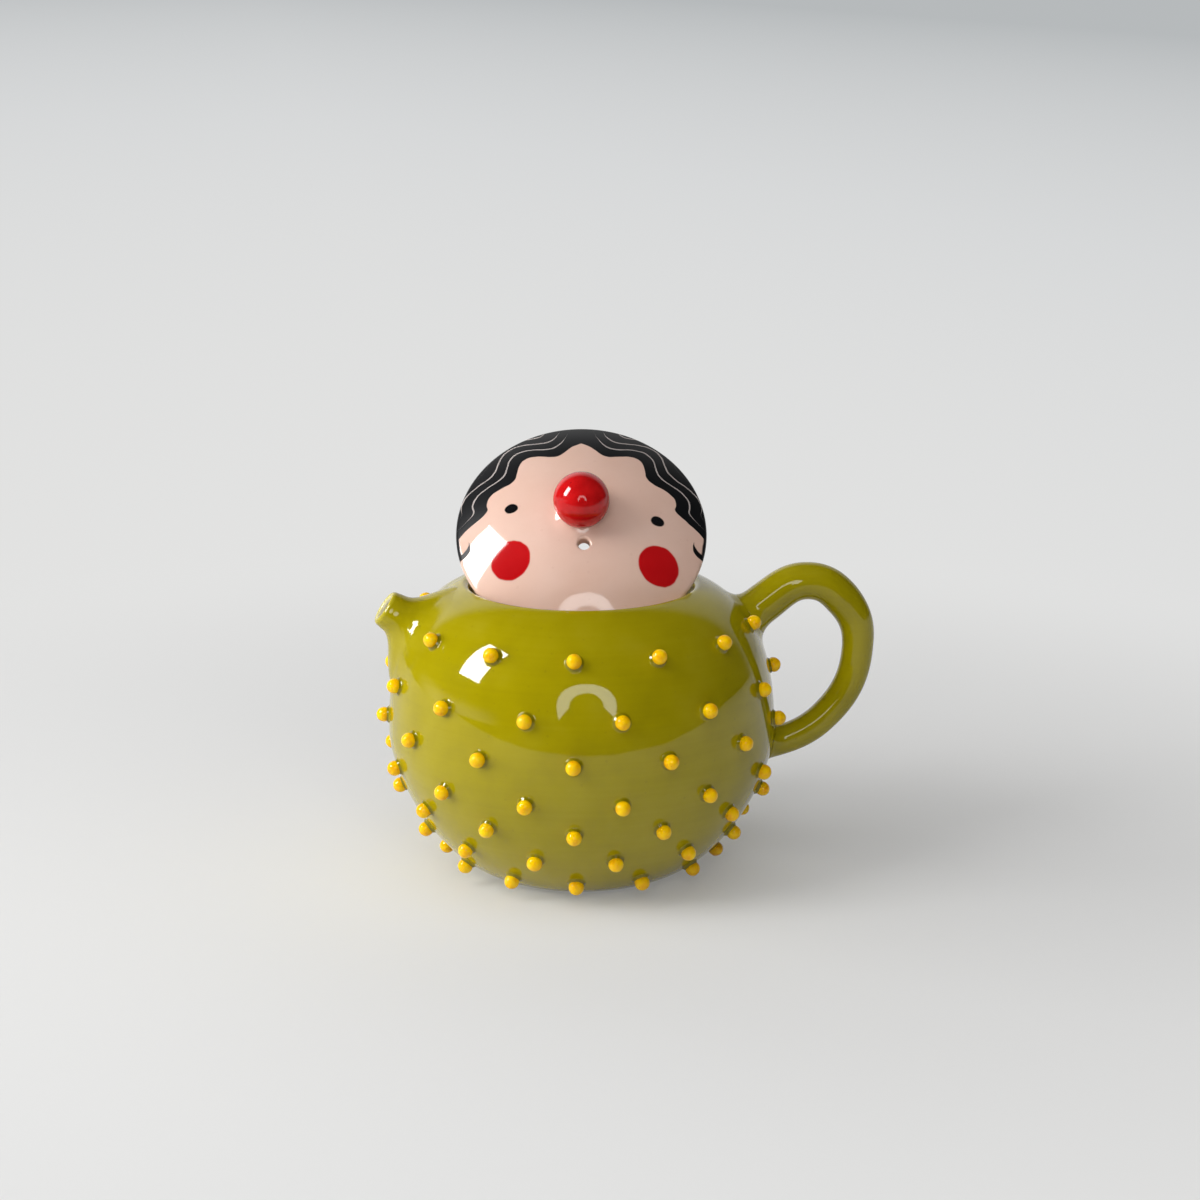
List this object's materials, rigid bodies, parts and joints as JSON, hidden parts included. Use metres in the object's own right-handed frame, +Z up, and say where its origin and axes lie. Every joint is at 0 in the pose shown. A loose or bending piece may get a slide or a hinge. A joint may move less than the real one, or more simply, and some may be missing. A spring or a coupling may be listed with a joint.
{
  "type": "teapot",
  "caption": "Round glazed teapot with a stubby spout, ear-shaped handle and raised beads; a loose domed lid painted as a doll-like face stands tilted in its mouth.",
  "frame": {"origin": "centre of the flat base, on the surface that the pot stands on", "axes": "+Z up along the turned body's axis, +X towards the handle, -X towards the spout, the face looks to -Y"},
  "size_m": [0.1547, 0.1254, 0.1321],
  "materials": {
    "green_glaze": "glossy olive green glaze",
    "pink_glaze": "glossy pale pink glaze, painted",
    "red_glaze": "glossy red glaze",
    "yellow_glaze": "glossy yellow glaze"
  },
  "bodies": {
    "pot": {"body_shell": "green_glaze", "spout": "green_glaze", "handle": "green_glaze", "bead_row1_02": "yellow_glaze", "bead_row1_03": "yellow_glaze", "bead_row1_04": "yellow_glaze", "bead_row1_05": "yellow_glaze", "bead_row1_06": "yellow_glaze", "bead_row1_07": "yellow_glaze", "bead_row1_08": "yellow_glaze", "bead_row1_09": "yellow_glaze", "bead_row1_10": "yellow_glaze", "bead_row1_11": "yellow_glaze", "bead_row1_12": "yellow_glaze", "bead_row1_13": "yellow_glaze", "bead_row2_01": "yellow_glaze", "bead_row2_02": "yellow_glaze", "bead_row2_03": "yellow_glaze", "bead_row2_04": "yellow_glaze", "bead_row2_05": "yellow_glaze", "bead_row2_06": "yellow_glaze", "bead_row2_07": "yellow_glaze", "bead_row2_08": "yellow_glaze", "bead_row2_09": "yellow_glaze", "bead_row2_10": "yellow_glaze", "bead_row2_11": "yellow_glaze", "bead_row2_12": "yellow_glaze", "bead_row2_13": "yellow_glaze", "bead_row3_01": "yellow_glaze", "bead_row3_02": "yellow_glaze", "bead_row3_03": "yellow_glaze", "bead_row3_04": "yellow_glaze", "bead_row3_05": "yellow_glaze", "bead_row3_06": "yellow_glaze", "bead_row3_07": "yellow_glaze", "bead_row3_08": "yellow_glaze", "bead_row3_09": "yellow_glaze", "bead_row3_10": "yellow_glaze", "bead_row3_11": "yellow_glaze", "bead_row3_12": "yellow_glaze", "bead_row3_13": "yellow_glaze", "bead_row4_01": "yellow_glaze", "bead_row4_02": "yellow_glaze", "bead_row4_03": "yellow_glaze", "bead_row4_04": "yellow_glaze", "bead_row4_05": "yellow_glaze", "bead_row4_06": "yellow_glaze", "bead_row4_08": "yellow_glaze", "bead_row4_09": "yellow_glaze", "bead_row4_10": "yellow_glaze", "bead_row4_11": "yellow_glaze", "bead_row4_12": "yellow_glaze", "bead_row4_13": "yellow_glaze"},
    "lid": {"lid_dome": "pink_glaze", "lid_collar": "pink_glaze", "nose_knob": "red_glaze"}
  },
  "joints": [
    {"name": "lid_lift", "type": "slide", "parent": "pot", "child": "lid", "axis": [0, 0, 1], "range_m": [0, 0.06]}
  ]
}
